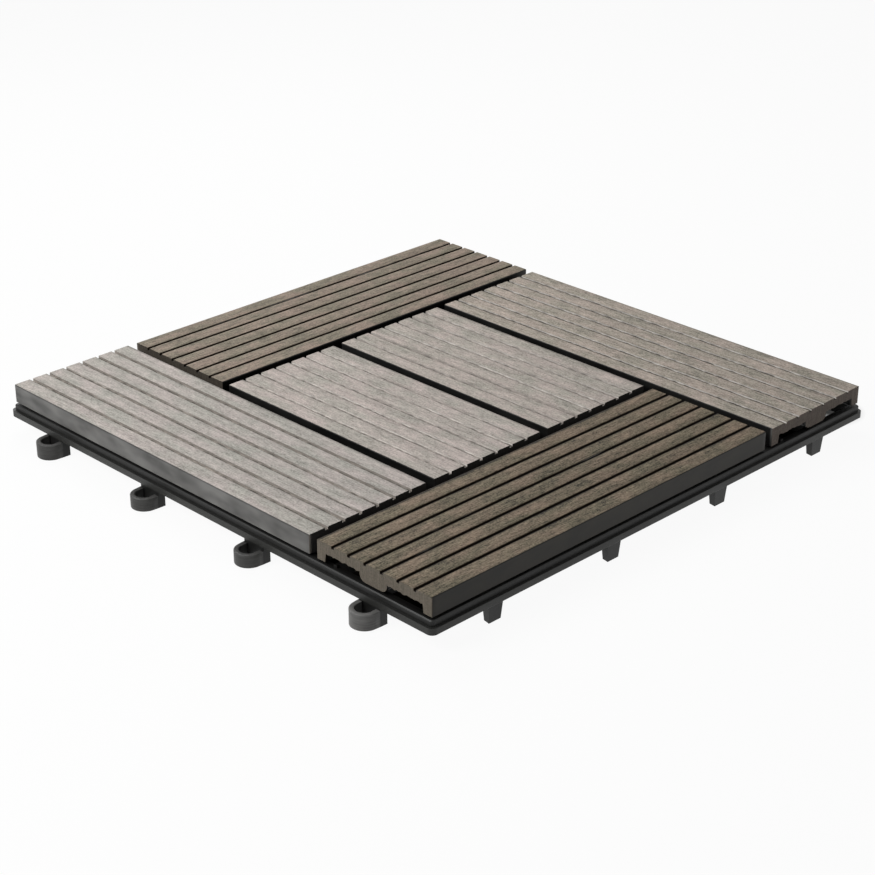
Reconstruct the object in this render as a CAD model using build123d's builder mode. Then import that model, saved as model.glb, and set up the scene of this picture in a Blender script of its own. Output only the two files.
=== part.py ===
"""Interlocking deck tile: six grooved slats screwed to a moulded base grid.

Millimetres, +Z up. The origin is the centre of the tile on the floor. The left side (-X) and
the back side (+Y) carry four loops each. The front side (-Y) and the right side (+X) carry the
pegs that drop into the loops of the next tile.
"""

import os
from math import atan2, degrees

from build123d import *

# Tile layout
stations = 4                   # slats across the tile, and bosses, pegs or loops along a side
slat_pitch = 75.0              # centre to centre of neighbouring slats
slat_gap = 5.0                 # gap between neighbouring slats, also from tile to tile
tile_joint = 0.4               # gap left between the lips of two neighbouring tiles

# Slat section
slat_height = 9.3
deck_thickness = 5.0           # thickness of the slat above its two open channels
groove_count = 6
groove_width = 1.7
groove_depth = 1.3
top_edge_chamfer = 0.4
side_leg_width = 5.0
side_leg_draft = 0.6           # how much wider a side leg is at its root than at its foot
centre_leg_width = 9.8         # at the foot
centre_leg_flare = 3.3         # how much each round flank of the centre leg widens up to its root

# Heights of the base
lip_height = 8.4               # underside of the rim above the floor
lip_thickness = 3.2
ledge_thickness = 2.9
slat_seat_rise = 1.2           # how far the slat seats stand above the ledge

# Rim
lip_corner_radius = 3.0
ledge_inset = 1.4              # step from the lip's face back to the ledge's face
rim_wall = 4.2
ledge_edge_chamfer = 0.5

# Lattice of ribs
ribs_per_slat = 3
rib_thickness = 2.0
rib_lift = 0.4                 # how far rib undersides stand above the underside of the rim
rib_bite = 2.0                 # how far each rib end runs into the rim wall

# Screw bosses and feet
boss_width = 13.0
boss_wall = 2.2
screw_seat_thickness = 3.0
cross_foot_span = 16.0

# Screws
screw_diameter = 3.9
screw_head_diameter = 7.4
screw_head_height = 2.4
screw_grip = 6.0               # length of shank inside the slat
screw_seat_clearance = 0.25    # radial, between the shank and its hole in the boss
screw_pilot_clearance = 0.03   # radial, between the shank and its hole in the slat
screw_tip_clearance = 0.3      # between the tip and the end of its hole

# Pegs
peg_width = 8.6                # along the side of the tile, at the root
peg_back_narrowing = 0.9       # on each flank, from the face of the peg to its back
peg_depth = 4.8
peg_draft = 4.5                # degrees
peg_floor_gap = 0.3            # pegs and loops end this far above the floor

# Loops
loop_wall = 2.4
loop_peg_clearance = 0.1       # on each side, between a peg's root and the eye
loop_reach = 9.5               # how far a loop stands out from the lip's face
loop_root_depth = 3.4          # thickness of the block that carries the loop
loop_root_inset = 0.4          # step from the lip's face back to the face of that block
outer_loop_drop = 0.3          # from the underside of the lip down to the top of an outer loop
inner_loop_drop = 1.7          # the same for the two inner loops of a side

# Sizes that follow
tile_size = stations * slat_pitch
slat_width = slat_pitch - slat_gap
long_slat_length = 3 * slat_pitch - slat_gap
centre_slat_length = 2 * slat_pitch - slat_gap
board_pitch = slat_width / (groove_count + 1)
corners = stations - 1          # places along a side where slats meet
lip_span = tile_size - tile_joint
ledge_span = lip_span - 2 * ledge_inset
rim_opening = ledge_span - 2 * rim_wall
lip_face = lip_span / 2
lip_top = lip_height + lip_thickness
ledge_top = lip_top + ledge_thickness
slat_seat = ledge_top + slat_seat_rise
rib_underside = lip_height + rib_lift
rib_height = slat_seat - rib_underside
rib_pitch = slat_pitch / ribs_per_slat
rib_count = stations * ribs_per_slat - 2    # the rim takes the place of the outermost ribs
rib_length = rim_opening + 2 * rib_bite
screw_seat = slat_seat - screw_seat_thickness
boss_bore = boss_width - 2 * boss_wall
eye_width = peg_width + 2 * loop_peg_clearance
loop_width = eye_width + 2 * loop_wall

# Each slat: centre in slat pitches from the middle of the tile, direction, length
slats = {
    "left_slat": ((-1.5, 0.5), Vector(0, 1, 0), long_slat_length),
    "front_slat": ((-0.5, -1.5), Vector(1, 0, 0), long_slat_length),
    "right_slat": ((1.5, -0.5), Vector(0, 1, 0), long_slat_length),
    "back_slat": ((0.5, 1.5), Vector(1, 0, 0), long_slat_length),
    "centre_left_slat": ((-0.5, 0), Vector(0, 1, 0), centre_slat_length),
    "centre_right_slat": ((0.5, 0), Vector(0, 1, 0), centre_slat_length),
}

# Each slat has two screws: the middle of a long slat only rests on its boss
boss_places = [location.position for location in GridLocations(slat_pitch, slat_pitch, stations, stations)]
slat_middles = [Vector(*centre) * slat_pitch for centre, _, _ in slats.values()]
screw_places = [place for place in boss_places if place not in slat_middles]

os.makedirs("parts", exist_ok=True)

# Turns that bring the +Y axis of the tile onto the outward direction of each side
back_side, left_side, front_side, right_side = 0, 90, 180, 270


def side_plane(turn, height):
    """Horizontal plane whose Y axis points straight out of one side of the tile."""
    return Plane.XY.rotated((0, 0, turn)).offset(height)


def draw_slat_section():
    """Cross section of a slat, centred on its width and standing on the X axis."""
    half = slat_width / 2
    ceiling = slat_height - deck_thickness
    leg_foot = half - side_leg_width
    centre_foot = centre_leg_width / 2
    with BuildSketch(mode=Mode.PRIVATE) as section:
        with BuildLine():
            Line((0, 0), (centre_foot, 0))
            TangentArc((centre_foot, 0), (centre_foot + centre_leg_flare, ceiling), tangent=(1, 0))
            Polyline(
                (centre_foot + centre_leg_flare, ceiling),
                (leg_foot - side_leg_draft, ceiling),
                (leg_foot, 0),
                (half, 0),
                (half, slat_height),
                (0, slat_height),
            )
            mirror(about=Plane.YZ)
        make_face()
        top_corners = section.vertices().group_by(Axis.Y)[-1].group_by(Axis.X)
        chamfer(top_corners[0] + top_corners[-1], top_edge_chamfer)
        with Locations((0, slat_height)), GridLocations(board_pitch, 0, groove_count, 1):
            Rectangle(groove_width, 2 * groove_depth, mode=Mode.SUBTRACT)
    add(section.sketch)


# Base grid: rim, lattice, feet, screw bosses, pegs and loops in one moulding
with BuildPart() as base_grid:
    # Lip and ledge of the rim
    with BuildSketch(Plane.XY.offset(lip_height)):
        RectangleRounded(lip_span, lip_span, lip_corner_radius)
    extrude(amount=lip_thickness)
    with BuildSketch(Plane.XY.offset(lip_top)):
        RectangleRounded(ledge_span, ledge_span, lip_corner_radius - ledge_inset)
    extrude(amount=ledge_thickness)
    chamfer(base_grid.faces().sort_by(Axis.Z)[-1].edges(), ledge_edge_chamfer)
    with BuildSketch(Plane.XY.offset(lip_height)):
        Rectangle(rim_opening, rim_opening)
    extrude(amount=lip_thickness + ledge_thickness, mode=Mode.SUBTRACT)

    # Pegs that hang from the lip
    peg_flank = degrees(atan2(peg_depth, peg_back_narrowing))
    for turn in (front_side, right_side):
        with BuildSketch(side_plane(turn, lip_height)):
            with Locations((0, lip_face - peg_depth / 2)), GridLocations(slat_pitch, 0, stations, 1):
                Trapezoid(peg_width, peg_depth, peg_flank, rotation=180)
        extrude(amount=peg_floor_gap - lip_height, taper=peg_draft)

    # Loops: a root block under the rim and a round-nosed ring around the eye
    root_face = lip_face - loop_root_inset
    root_back = root_face - loop_root_depth
    nose_centre = lip_face + loop_reach - loop_width / 2
    for turn in (left_side, back_side):
        for spacing, drop in ((corners * slat_pitch, outer_loop_drop), (slat_pitch, inner_loop_drop)):
            with BuildSketch(side_plane(turn, peg_floor_gap)):
                with Locations((0, (root_face + root_back) / 2)), GridLocations(spacing, 0, 2, 1):
                    Rectangle(loop_width, loop_root_depth)
            extrude(amount=lip_height - peg_floor_gap)
            with BuildSketch(side_plane(turn, peg_floor_gap)):
                with Locations((0, (root_back + nose_centre) / 2)), GridLocations(spacing, 0, 2, 1):
                    Rectangle(loop_width, nose_centre - root_back)
                with Locations((0, nose_centre)), GridLocations(spacing, 0, 2, 1):
                    Circle(loop_width / 2)
                with Locations((0, (root_face + nose_centre) / 2)), GridLocations(spacing, 0, 2, 1):
                    Rectangle(eye_width, nose_centre - root_face, mode=Mode.SUBTRACT)
                with Locations((0, nose_centre)), GridLocations(spacing, 0, 2, 1):
                    Circle(eye_width / 2, mode=Mode.SUBTRACT)
            extrude(amount=lip_height - drop - peg_floor_gap)

    # Lattice, with a small cross that carries each foot in the middle of its cell
    with BuildSketch(Plane.XY.offset(rib_underside)):
        with GridLocations(rib_pitch, 0, rib_count, 1):
            Rectangle(rib_thickness, rib_length)
        with GridLocations(0, rib_pitch, 1, rib_count):
            Rectangle(rib_length, rib_thickness)
        with GridLocations(slat_pitch, slat_pitch, corners, corners):
            Rectangle(rib_pitch, rib_thickness)
            Rectangle(rib_thickness, rib_pitch)
    extrude(amount=rib_height)

    # Feet: crosses under the corners where slats meet, square bosses under their middle lines
    with BuildSketch():
        with GridLocations(slat_pitch, slat_pitch, corners, corners):
            Rectangle(cross_foot_span, rib_thickness)
            Rectangle(rib_thickness, cross_foot_span)
        with GridLocations(slat_pitch, slat_pitch, stations, stations):
            Rectangle(boss_width, boss_width)
    extrude(amount=slat_seat)

    # Bosses are open from below, with a hole for each screw in the top
    with BuildSketch():
        with GridLocations(slat_pitch, slat_pitch, stations, stations):
            Rectangle(boss_bore, boss_bore)
    extrude(amount=screw_seat, mode=Mode.SUBTRACT)
    with BuildSketch(Plane.XY.offset(screw_seat)):
        with Locations(screw_places):
            Circle(screw_diameter / 2 + screw_seat_clearance)
    extrude(amount=screw_seat_thickness, mode=Mode.SUBTRACT)

base_grid.part.label = "base_grid"
export_step(base_grid.part, "parts/base_grid.step")

# Slats: one section, extruded to length, with blind pilot holes over the screw bosses
for name, (centre, direction, length) in slats.items():
    middle = Vector(centre[0] * slat_pitch, centre[1] * slat_pitch, slat_seat)
    sawn_end = Plane(
        origin=middle - direction * (length / 2),
        x_dir=Vector(0, 0, 1).cross(direction),
        z_dir=direction,
    )
    with BuildPart() as slat:
        with BuildSketch(sawn_end):
            draw_slat_section()
        extrude(amount=length)
        with BuildSketch(Plane.XY.offset(slat_seat)):
            with Locations(screw_places):
                Circle(screw_diameter / 2 + screw_pilot_clearance)
        extrude(amount=screw_grip + screw_tip_clearance, mode=Mode.SUBTRACT)
    slat.part.label = name
    export_step(slat.part, f"parts/{name}.step")

# Screws: round-headed, driven up through the bosses
with BuildPart() as slat_screws:
    with BuildSketch(Plane.XY.offset(screw_seat)):
        with Locations(screw_places):
            Circle(screw_head_diameter / 2)
    extrude(amount=-screw_head_height)
    with BuildSketch(Plane.XY.offset(screw_seat)):
        with Locations(screw_places):
            Circle(screw_diameter / 2)
    extrude(amount=screw_seat_thickness + screw_grip)
slat_screws.part.label = "slat_screws"
export_step(slat_screws.part, "parts/slat_screws.step")
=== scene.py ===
"""Interlocking deck tile: worked surfaces, finishes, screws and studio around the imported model.

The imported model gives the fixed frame, in metres, with +Z up and the tile's centre on the floor at
the origin. The slats get rounded groove lips, torn channel ceilings at their sawn ends and brushed
composite. The base gets moulded edges and black plastic, and the screws get their recess and thread.
"""

import logging
import math
import random
from collections.abc import Callable
from dataclasses import dataclass, field
from enum import Enum
from typing import Any

import bpy
from mathutils import Matrix, Vector


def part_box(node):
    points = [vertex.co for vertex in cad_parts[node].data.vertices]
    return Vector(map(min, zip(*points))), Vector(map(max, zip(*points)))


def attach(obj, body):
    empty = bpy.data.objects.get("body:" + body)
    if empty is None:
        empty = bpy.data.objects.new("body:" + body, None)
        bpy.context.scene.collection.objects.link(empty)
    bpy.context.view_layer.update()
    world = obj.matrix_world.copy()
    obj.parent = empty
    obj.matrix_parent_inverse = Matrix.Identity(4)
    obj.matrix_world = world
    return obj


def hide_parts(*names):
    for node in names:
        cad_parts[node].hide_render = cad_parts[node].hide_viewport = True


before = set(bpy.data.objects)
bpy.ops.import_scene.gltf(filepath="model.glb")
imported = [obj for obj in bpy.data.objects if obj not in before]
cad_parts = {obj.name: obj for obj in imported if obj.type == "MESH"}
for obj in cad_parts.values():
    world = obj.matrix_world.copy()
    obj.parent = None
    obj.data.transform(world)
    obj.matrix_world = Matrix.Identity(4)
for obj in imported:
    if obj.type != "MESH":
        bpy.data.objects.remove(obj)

LOG = logging.getLogger("deck_tile")
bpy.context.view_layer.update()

MM = 0.001
MERGE_DISTANCE = 0.002 * MM          # points that lie closer are one point
TOLERANCE = 0.01                     # mm, within which two places are the same
FLAT_ANGLE = math.radians(0.5)       # faces that meet at less are one flat face
PLASTIC_IOR = 1.49                   # of polyethylene and polypropylene
NOISE_LOW, NOISE_HIGH = 0.3, 0.7     # nearly all values of a noise lie between these

Material = bpy.types.Material
Mesh = bpy.types.Mesh
Node = bpy.types.Node
Object = bpy.types.Object
Socket = bpy.types.NodeSocket
Tree = bpy.types.NodeTree


class Grain(Enum):
    """Direction of extrusion and brushing, as an angle from +X in degrees."""

    ALONG_X = 0.0
    ALONG_Y = 90.0


def linear(hex_colour: str) -> tuple[float, float, float, float]:
    """Turn an sRGB hex colour into linear RGBA, by the curve of the sRGB standard.

    Args:
        hex_colour: Six hex digits with a leading hash.

    Returns:
        Linear red, green, blue and an alpha of one.
    """
    channels = [int(hex_colour[i:i + 2], 16) / 255 for i in (1, 3, 5)]
    red, green, blue = (
        c / 12.92 if c <= 0.04045 else ((c + 0.055) / 1.055) ** 2.4 for c in channels
    )
    return red, green, blue, 1.0


def add_node(tree: Tree, kind: str, inputs: dict[str | int, Any] | None = None, **settings: Any) -> Node:
    """Add a node with its settings, values and links.

    Sockets without a name of their own go by number. A MapRange takes its value at 0, the range
    that this comes from at 1 and 2, and the range that it goes to at 3 and 4. A Mix of colours
    takes its factor at 0 and the colours at 6 and 7, and gives the result at output 2.

    Args:
        tree: Node tree that takes the node.
        kind: Node type, without the ShaderNode prefix.
        inputs: Input name or number, with the value or the socket that feeds it.
        settings: Properties of the node itself.

    Returns:
        The new node.
    """
    node = tree.nodes.new("ShaderNode" + kind)
    for name, value in settings.items():
        setattr(node, name, value)
    for key, value in (inputs or {}).items():
        if isinstance(value, Socket):
            tree.links.new(value, node.inputs[key])
        else:
            node.inputs[key].default_value = value
    return node


def start_material(name: str) -> tuple[Material, Tree]:
    """Make an empty node material.

    Args:
        name: Name of the real material.

    Returns:
        The material and its cleared node tree.
    """
    material = bpy.data.materials.new(name)
    material.use_nodes = True
    tree = material.node_tree
    tree.nodes.clear()
    return material, tree


def select_only(piece: Object) -> None:
    """Deselect everything else and make one piece active."""
    bpy.ops.object.select_all(action="DESELECT")
    piece.select_set(True)
    bpy.context.view_layer.objects.active = piece


def copy_node(node_name: str, piece_name: str) -> Object:
    """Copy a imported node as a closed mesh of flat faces.

    Args:
        node_name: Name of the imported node.
        piece_name: Name of the new piece.

    Returns:
        The new piece, at the origin.
    """
    piece = bpy.data.objects.new(piece_name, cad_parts[node_name].data.copy())
    bpy.context.collection.objects.link(piece)
    piece.data.materials.clear()
    select_only(piece)
    bpy.ops.mesh.customdata_custom_splitnormals_clear()
    bpy.ops.object.mode_set(mode="EDIT")
    bpy.ops.mesh.select_all(action="SELECT")
    bpy.ops.mesh.remove_doubles(threshold=MERGE_DISTANCE)
    bpy.ops.mesh.dissolve_limited(angle_limit=FLAT_ANGLE)
    bpy.ops.object.mode_set(mode="OBJECT")
    return piece


def clean_mesh() -> None:
    """Merge the active piece's doubled points, dissolve faces without area and divide large ones."""
    bpy.ops.object.mode_set(mode="EDIT")
    bpy.ops.mesh.select_all(action="SELECT")
    bpy.ops.mesh.remove_doubles(threshold=MERGE_DISTANCE)
    bpy.ops.mesh.dissolve_degenerate(threshold=MERGE_DISTANCE)
    bpy.ops.mesh.quads_convert_to_tris(quad_method="BEAUTY", ngon_method="BEAUTY")
    bpy.ops.object.mode_set(mode="OBJECT")


def round_edges(
    piece: Object,
    radius: float,
    weight: Callable[[Vector, Vector], float],
    segments: int = 3,
    sharp_angle: float = math.radians(35),
) -> None:
    """Round the chosen edges of a piece and smooth what runs on tangentially.

    Args:
        piece: Piece with a closed mesh.
        radius: Width of the rounding at full weight, in mm.
        weight: Gives each edge's share of that width from its two ends, in mm.
        segments: Number of faces across each rounding.
        sharp_angle: Edges that bend by more than this stay sharp.
    """
    mesh = piece.data
    weights = mesh.attributes.new("bevel_weight_edge", "FLOAT", "EDGE")
    for edge in mesh.edges:
        start, end = (mesh.vertices[i].co / MM for i in edge.vertices)
        weights.data[edge.index].value = weight(start, end)
    bevel = piece.modifiers.new("rounding", "BEVEL")
    bevel.limit_method = "WEIGHT"
    bevel.width = radius * MM
    bevel.segments = segments
    bevel.use_clamp_overlap = False
    select_only(piece)
    bpy.ops.object.modifier_apply(modifier=bevel.name)
    clean_mesh()
    bpy.ops.object.shade_smooth_by_angle(angle=sharp_angle)


def seat(piece: Object, node_name: str) -> None:
    """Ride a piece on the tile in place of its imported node, and report it.

    Args:
        piece: Finished piece.
        node_name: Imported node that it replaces.
    """
    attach(piece, "root")
    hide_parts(node_name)
    LOG.info("%s: %d faces, replaces %s", piece.name, len(piece.data.polygons), node_name)


@dataclass(frozen=True)
class BrushedComposite:
    """Wood-plastic composite, extruded and then brushed along its length on top.

    Brushing opens the plastic skin and combs the wood flour into short pale fibres, so the top
    looks dry, speckled and softly clouded. The sides keep the smooth, darker skin from the die, and
    the sawn ends show the upright marks of the blade.
    """

    name: str
    grain: Grain
    centre: tuple[float, float]          # middle of the slat in plan, mm
    brushed: str                         # colour of the brushed top, paler on the slats along Y by painted sheen
    skin: str                            # colour of the extruded sides, paler on the slats along Y as painted light and darker on the slats along X as painted shade
    sawn: str                            # colour of the sawn ends
    groove_wall: str                     # colour of the groove walls just below their lips, near black on the slats along X as painted shade and pale on the slats along Y as painted light
    groove_deep: str                     # colour of the bottom of the grooves, on most slats darker than the walls as painted shade
    groove_highlight: str                     # colour of the painted highlight along the top of some groove walls
    burr: float                          # how much of the groove walls gets that painted highlight, 0 to 1
    contrast: float                      # how strongly the fibres stand out
    olive: str                           # tint of the patches with less red pigment
    rose: str                            # tint of the patches with more of it
    end_gap_shade_level: float                 # of the sawn ends' brightness where they face a gap, painted shade
    lip_shade: float                     # how much darker the painted shade line along one lip of each groove is
    seed: float
    half_width: float                    # of the slat, mm
    top: float                           # height of the brushed face, mm
    board_pitch: float = 10.0            # from groove to groove, mm
    groove_half: float = 0.85            # half the width of a groove, mm
    groove_depth: float = 1.3            # mm
    fibre_size: tuple[float, float] = (4.5, 0.8)     # mm, drawn as coarse as it needs to show
    speck_size: tuple[float, float] = (0.85, 0.75)   # mm, single grains of wood flour
    streak_size: tuple[float, float] = (32.0, 2.4)   # mm, marks of the brush
    cloud_size: tuple[float, float] = (18.0, 9.0)    # mm, patches with more or less pigment
    saw_size: tuple[float, float] = (0.8, 14.0)      # mm, marks of the blade
    brush_depth: float = 0.10            # mm
    speck_height: float = 0.8            # of the height of the fibres
    sheen: float = 0.22                  # specular level, low because pores and dust break it up
    skin_roughness: float = 0.4
    worked_roughness: float = 0.78       # of the brushed and the sawn faces
    weights: tuple[float, float, float, float] = (1.1, 1.2, 0.6, 0.7)    # fibres to clouds
    tint_range: tuple[float, float] = (0.38, 0.62)       # of the clouds, from olive to rose
    outline: float = 147.5               # mm, from the middle of the tile to the outer faces
    gap_start: float = 1.5               # mm in from the outline, where a face begins to face a gap
    gap_shade_level: float = 0.10              # of the skin's brightness where it faces a gap, painted shade
    end_facing: tuple[float, float] = (0.5, 0.6)         # share of the normal along the slat
    top_facing: tuple[float, float] = (0.3, 0.6)         # share of the normal upwards
    side_fade: tuple[float, float] = (0.5, 0.3)          # mm in from the sides
    top_fade: tuple[float, float] = (0.35, 0.2)          # mm below the top
    edge_fade: tuple[float, float] = (0.75, 0.35)        # mm below the top, beside the chamfer
    floor_fade: tuple[float, float] = (0.3, 0.1)         # mm below the floors of the grooves
    lip_inset: float = 0.1               # mm, from the groove to the middle of the painted shade line on a lip
    lip_fade: tuple[float, float] = (0.9, 0.1)           # mm from that middle
    wander: float = 0.25                 # mm, how unsteadily the painted lip shade and the painted groove shading and highlights run
    wall_fade: tuple[float, float] = (0.3, 0.6)          # mm above the floor and below the top
    highlight_fade: tuple[float, float] = (0.9, 0.5)          # mm below the top, where the painted highlight fades in
    comb_range: tuple[float, float] = (0.35, 0.65)       # of the fibres in the grooves
    comb_level: tuple[float, float] = (0.8, 1.2)         # of the walls' brightness, through those
    bottom_shade_fade: tuple[float, float] = (0.1, 0.3)          # mm below and above the floor
    bottom_shade_level: float = 0.25             # of the grooves' brightness at their bottoms, as painted shade
    drag_size: tuple[float, float] = (70.0, 9.0)         # mm, marks of the die on the skin
    drag_range: tuple[float, float] = (0.8, 1.2)         # of drag marks and clouds added up
    drag_level: tuple[float, float] = (0.5, 1.5)         # of the skin's brightness, through those
    edge_level: float = 0.45             # of the skin's brightness, along its top edge
    saw_range: tuple[float, float] = (0.7, 1.3)          # of saw marks and specks added up
    saw_level: tuple[float, float] = (0.76, 1.24)        # of the sawn ends' brightness
    draw_step: float = 7.3               # sets the grooves of the slats apart in the random draw
    draw_start: float = 0.5
    draw_weight: float = 0.5             # of that draw, against the streaks
    highlight_start: float = 1.15             # draw and streaks above which the painted highlight shows, at no highlight
    highlight_gain: float = 0.75              # how far a full highlight lowers it
    highlight_blur: float = 0.15

    def build(self) -> Material:
        """Make the node material.

        Returns:
            The finished material.
        """
        material, tree = start_material(self.name)
        place = self._slat_coordinates(tree)
        axes = add_node(tree, "SeparateXYZ", {0: place})
        across, height = axes.outputs[1], axes.outputs[2]
        fibres = self._noise(tree, place, self.fibre_size, 2.0)
        specks = self._noise(tree, place, self.speck_size, 1.0)
        streaks = self._noise(tree, place, self.streak_size, 2.0)
        clouds = self._noise(tree, place, self.cloud_size, 2.0)

        offset = self._groove_offset(tree, across, streaks)
        top_mask, end_mask, groove_mask, chamfer_mask = self._face_masks(tree, across, height)
        # painted shade on the faces that look into the gaps between slats
        level = self._gap_shade_level(tree, self.gap_shade_level)
        end_level = self._gap_shade_level(tree, self.end_gap_shade_level)

        brushed = self._brushed_colour(tree, (fibres, specks, streaks, clouds), offset)
        skin = self._shaded(tree, self._skin_colour(tree, place, clouds, chamfer_mask), level)
        grooves = self._groove_colour(tree, across, height, (fibres, streaks))
        sawn = self._shaded(tree, self._sawn_colour(tree, place, specks), end_level)
        colour = skin
        for mask, layer in ((groove_mask, grooves), (top_mask, brushed), (end_mask, sawn)):
            mixed = add_node(tree, "Mix", {0: mask, 6: colour, 7: layer}, data_type="RGBA")
            colour = mixed.outputs[2]

        rough = add_node(tree, "Math", {0: top_mask, 1: end_mask}, operation="ADD")
        gloss = add_node(
            tree,
            "MapRange",
            {0: rough.outputs[0], 3: self.skin_roughness, 4: self.worked_roughness},
        )
        bump = self._bump(tree, place, (fibres, specks), top_mask, end_mask)
        shader = add_node(
            tree,
            "BsdfPrincipled",
            {
                "Base Color": colour,
                "Roughness": gloss.outputs[0],
                "Normal": bump,
                "IOR": PLASTIC_IOR,
                "Specular IOR Level": self.sheen,
            },
        )
        add_node(tree, "OutputMaterial", {"Surface": shader.outputs[0]})
        return material

    def _slat_coordinates(self, tree: Tree) -> Socket:
        """Give millimetres with X along the slat, Y across it and Z up."""
        turn = -math.radians(self.grain.value)
        middle = Matrix.Rotation(turn, 3, "Z") @ Vector((self.centre[0], self.centre[1], 0.0))
        coordinates = add_node(tree, "TexCoord")
        mapping = add_node(
            tree,
            "Mapping",
            {
                "Vector": coordinates.outputs["Object"],
                "Location": -middle,
                "Rotation": (0.0, 0.0, turn),
                "Scale": (1 / MM, 1 / MM, 1 / MM),
            },
        )
        return mapping.outputs[0]

    def _noise(self, tree: Tree, place: Socket, size: tuple[float, float], detail: float) -> Socket:
        """Add a noise whose patches are as long and as wide as the size says, in mm."""
        length, width = size
        stretched = add_node(
            tree,
            "VectorMath",
            {0: place, 1: (1 / length, 1 / width, 1 / width)},
            operation="MULTIPLY",
        )
        noise = add_node(
            tree,
            "TexNoise",
            {"Vector": stretched.outputs[0], "W": self.seed, "Scale": 1.0, "Detail": detail},
            noise_dimensions="4D",
        )
        return noise.outputs[0]

    def _groove_offset(self, tree: Tree, across: Socket, streaks: Socket) -> Socket:
        """Give the distance from the lip of each groove that carries the painted shade line, in mm."""
        board = add_node(tree, "Math", {0: across, 1: self.board_pitch}, operation="FLOORED_MODULO")
        lip_line = self.groove_half + self.lip_inset
        shaded_lip = lip_line if self.grain is Grain.ALONG_X else -lip_line
        signed = add_node(
            tree,
            "Math",
            {0: board.outputs[0], 1: self.board_pitch / 2 - shaded_lip},
            operation="SUBTRACT",
        )
        plain = add_node(tree, "Math", {0: signed.outputs[0]}, operation="ABSOLUTE")
        return self._unsteady(tree, plain.outputs[0], streaks)

    def _unsteady(self, tree: Tree, length: Socket, noise: Socket) -> Socket:
        """Let a length in mm wander with a noise."""
        wander = add_node(
            tree,
            "MapRange",
            {0: noise, 1: NOISE_LOW, 2: NOISE_HIGH, 3: -self.wander, 4: self.wander},
        )
        return add_node(tree, "Math", {0: length, 1: wander.outputs[0]}, operation="ADD").outputs[0]

    def _gap_shade_level(self, tree: Tree, darkest: float) -> Socket:
        """Give the brightness of a face: painted shade where it faces a gap between slats, full
        brightness on the outside.
        """
        coordinates = add_node(tree, "TexCoord")
        plan = add_node(tree, "VectorMath", {0: coordinates.outputs["Object"]}, operation="ABSOLUTE")
        axes = add_node(tree, "SeparateXYZ", {0: plan.outputs[0]})
        reach = add_node(tree, "Math", {0: axes.outputs[0], 1: axes.outputs[1]}, operation="MAXIMUM")
        inside = (self.outline - self.gap_start) * MM
        level = add_node(
            tree,
            "MapRange",
            {0: reach.outputs[0], 1: inside, 2: inside + MM, 3: darkest, 4: 1.0},
        )
        return level.outputs[0]

    def _face_masks(
        self, tree: Tree, across: Socket, height: Socket
    ) -> tuple[Socket, Socket, Socket, Socket]:
        """Mark the brushed top, the sawn ends, the grooves and the chamfers beside the top."""
        coordinates = add_node(tree, "TexCoord")
        facing = add_node(tree, "SeparateXYZ", {0: coordinates.outputs["Normal"]})
        lengthwise = facing.outputs[0] if self.grain is Grain.ALONG_X else facing.outputs[1]
        endwise = add_node(tree, "Math", {0: lengthwise}, operation="ABSOLUTE")
        low, high = self.end_facing
        end_mask = add_node(tree, "MapRange", {0: endwise.outputs[0], 1: low, 2: high})

        aside = add_node(tree, "Math", {0: across}, operation="ABSOLUTE")
        low, high = (self.half_width - inset for inset in self.side_fade)
        inner = add_node(tree, "MapRange", {0: aside.outputs[0], 1: low, 2: high, 3: 1.0, 4: 0.0})
        low, high = self.top_facing
        upward = add_node(tree, "MapRange", {0: facing.outputs[2], 1: low, 2: high})
        low, high = (self.top - depth for depth in self.top_fade)
        near = add_node(tree, "MapRange", {0: height, 1: low, 2: high})
        top = add_node(tree, "Math", {0: upward.outputs[0], 1: near.outputs[0]}, operation="MULTIPLY")
        top_mask = add_node(
            tree, "Math", {0: top.outputs[0], 1: inner.outputs[0]}, operation="MULTIPLY"
        )
        low, high = (self.top - self.groove_depth - depth for depth in self.floor_fade)
        deep = add_node(tree, "MapRange", {0: height, 1: low, 2: high})
        groove_mask = add_node(
            tree, "Math", {0: deep.outputs[0], 1: inner.outputs[0]}, operation="MULTIPLY"
        )
        low, high = (self.top - depth for depth in self.edge_fade)
        chamfer_mask = add_node(tree, "MapRange", {0: height, 1: low, 2: high})
        return top_mask.outputs[0], end_mask.outputs[0], groove_mask.outputs[0], chamfer_mask.outputs[0]

    def _shaded(self, tree: Tree, colour: Socket | str, level: Socket) -> Socket:
        """Multiply a colour's value by a level."""
        source = linear(colour) if isinstance(colour, str) else colour
        shaded = add_node(tree, "HueSaturation", {"Color": source, "Value": level})
        return shaded.outputs[0]

    def _brushed_colour(self, tree: Tree, noises: tuple[Socket, ...], offset: Socket) -> Socket:
        """Mix fibres, specks, streaks and clouds into the colour of the brushed face."""
        middle = sum(self.weights) / 2
        first = add_node(tree, "Math", {0: noises[0], 1: self.weights[0]}, operation="MULTIPLY")
        total = first.outputs[0]
        for noise, weight in zip(noises[1:], self.weights[1:]):
            total = add_node(
                tree, "Math", {0: noise, 1: weight, 2: total}, operation="MULTIPLY_ADD"
            ).outputs[0]
        level = add_node(
            tree,
            "MapRange",
            {0: total, 1: middle - 1, 2: middle + 1, 3: 1 - self.contrast, 4: 1 + self.contrast},
            clamp=False,
        )
        speckled = self._shaded(tree, self.brushed, level.outputs[0])
        low, high = self.tint_range
        tint = add_node(tree, "MapRange", {0: noises[-1], 1: low, 2: high})
        hue = add_node(
            tree,
            "Mix",
            {0: tint.outputs[0], 6: linear(self.olive), 7: linear(self.rose)},
            data_type="RGBA",
        )
        tinted = add_node(
            tree,
            "Mix",
            {0: 1.0, 6: speckled, 7: hue.outputs[2]},
            data_type="RGBA",
            blend_type="MULTIPLY",
        )
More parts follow.
